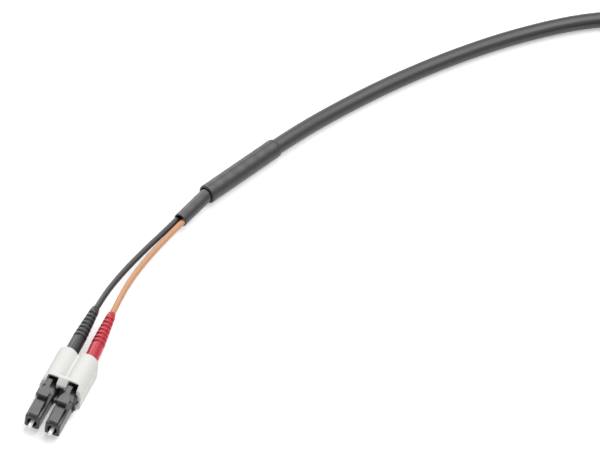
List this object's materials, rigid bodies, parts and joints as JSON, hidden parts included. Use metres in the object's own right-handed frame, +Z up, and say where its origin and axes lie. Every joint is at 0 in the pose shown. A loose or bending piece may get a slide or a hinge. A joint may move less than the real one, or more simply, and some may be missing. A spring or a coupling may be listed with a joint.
{
  "type": "duplex lc fibre patch cord",
  "caption": "Duplex optical patch cord: paired small latching plugs in a white clip, a black and a red boot, two thin strands joined by sleeves to a round jacketed cable.",
  "frame": {"origin": "middle of the near pair of plugs, from ferrule tips to boot ends, on the surface they lie on", "axes": "X across the two plugs with the red boot at +X; +Y from the ferrule tips towards the cable; +Z up with the latches on top"},
  "size_m": [0.1802, 0.2608, 0.0106],
  "materials": {
    "plug_plastic": "satin",
    "zirconia": "polished",
    "nickel_silver": "turned",
    "spring_steel": "drawn wire",
    "fibre_buffer": "smooth",
    "crimp_metal": "satin",
    "black_boot": "satin",
    "red_boot": "satin",
    "clip_plastic": "satin",
    "black_strand": "satin",
    "orange_strand": "satin",
    "shrink_sleeve": "satin",
    "cable_jacket": "satin",
    "tie_fabric": "woven"
  },
  "bodies": {
    "cord_set": {"plug_housing_a": "plug_plastic", "ferrule_spring_a": "spring_steel", "fibre_a": "fibre_buffer", "rear_body_a": "plug_plastic", "crimp_sleeve_a": "crimp_metal", "plug_housing_b": "plug_plastic", "ferrule_spring_b": "spring_steel", "fibre_b": "fibre_buffer", "rear_body_b": "plug_plastic", "crimp_sleeve_b": "crimp_metal", "boot_a": "black_boot", "boot_b": "red_boot", "duplex_clip": "clip_plastic", "strand_a": "black_strand", "strand_b": "orange_strand", "small_sleeve": "shrink_sleeve", "large_sleeve": "shrink_sleeve", "far_plug_housing_a": "plug_plastic", "far_ferrule_spring_a": "spring_steel", "far_fibre_a": "fibre_buffer", "far_rear_body_a": "plug_plastic", "far_crimp_sleeve_a": "crimp_metal", "far_plug_housing_b": "plug_plastic", "far_ferrule_spring_b": "spring_steel", "far_fibre_b": "fibre_buffer", "far_rear_body_b": "plug_plastic", "far_crimp_sleeve_b": "crimp_metal", "far_boot_a": "black_boot", "far_boot_b": "red_boot", "far_duplex_clip": "clip_plastic", "far_strand_a": "black_strand", "far_strand_b": "orange_strand", "far_small_sleeve": "shrink_sleeve", "far_large_sleeve": "shrink_sleeve", "cable": "cable_jacket", "cable_coil": "cable_jacket", "cable_far": "cable_jacket", "coil_tie": "tie_fabric"},
    "latch_a": {"latch_arm_a": "plug_plastic"},
    "ferrule_a": {"ferrule_a": "zirconia", "ferrule_flange_a": "nickel_silver"},
    "latch_b": {"latch_arm_b": "plug_plastic"},
    "ferrule_b": {"ferrule_b": "zirconia", "ferrule_flange_b": "nickel_silver"},
    "far_latch_a": {"far_latch_arm_a": "plug_plastic"},
    "far_ferrule_a": {"far_ferrule_a": "zirconia", "far_ferrule_flange_a": "nickel_silver"},
    "far_latch_b": {"far_latch_arm_b": "plug_plastic"},
    "far_ferrule_b": {"far_ferrule_b": "zirconia", "far_ferrule_flange_b": "nickel_silver"}
  },
  "joints": [
    {"name": "latch_press_a", "type": "hinge", "parent": "cord_set", "child": "latch_a", "pos_m": [-0.00313, -0.02363, 0.00605], "axis": [-1, 0, 0], "range_deg": [0, 6.5], "stiffness_Nm_per_rad": 0.25},
    {"name": "ferrule_push_a", "type": "slide", "parent": "cord_set", "child": "ferrule_a", "axis": [0, 1, 0], "range_m": [0, 0.0007], "stiffness_N_per_m": 2000, "deforming": ["ferrule_spring_a"]},
    {"name": "latch_press_b", "type": "hinge", "parent": "cord_set", "child": "latch_b", "pos_m": [0.00313, -0.02363, 0.00605], "axis": [-1, 0, 0], "range_deg": [0, 6.5], "stiffness_Nm_per_rad": 0.25},
    {"name": "ferrule_push_b", "type": "slide", "parent": "cord_set", "child": "ferrule_b", "axis": [0, 1, 0], "range_m": [0, 0.0007], "stiffness_N_per_m": 2000, "deforming": ["ferrule_spring_b"]},
    {"name": "far_latch_press_a", "type": "hinge", "parent": "cord_set", "child": "far_latch_a", "pos_m": [0.16117, 0.00703, 0.00605], "axis": [-0.9848, -0.1736, 0], "range_deg": [0, 6.5], "stiffness_Nm_per_rad": 0.25},
    {"name": "far_ferrule_push_a", "type": "slide", "parent": "cord_set", "child": "far_ferrule_a", "axis": [-0.1736, 0.9848, 0], "range_m": [0, 0.0007], "stiffness_N_per_m": 2000, "deforming": ["far_ferrule_spring_a"]},
    {"name": "far_latch_press_b", "type": "hinge", "parent": "cord_set", "child": "far_latch_b", "pos_m": [0.16732, 0.00812, 0.00605], "axis": [-0.9848, -0.1736, 0], "range_deg": [0, 6.5], "stiffness_Nm_per_rad": 0.25},
    {"name": "far_ferrule_push_b", "type": "slide", "parent": "cord_set", "child": "far_ferrule_b", "axis": [-0.1736, 0.9848, 0], "range_m": [0, 0.0007], "stiffness_N_per_m": 2000, "deforming": ["far_ferrule_spring_b"]}
  ]
}
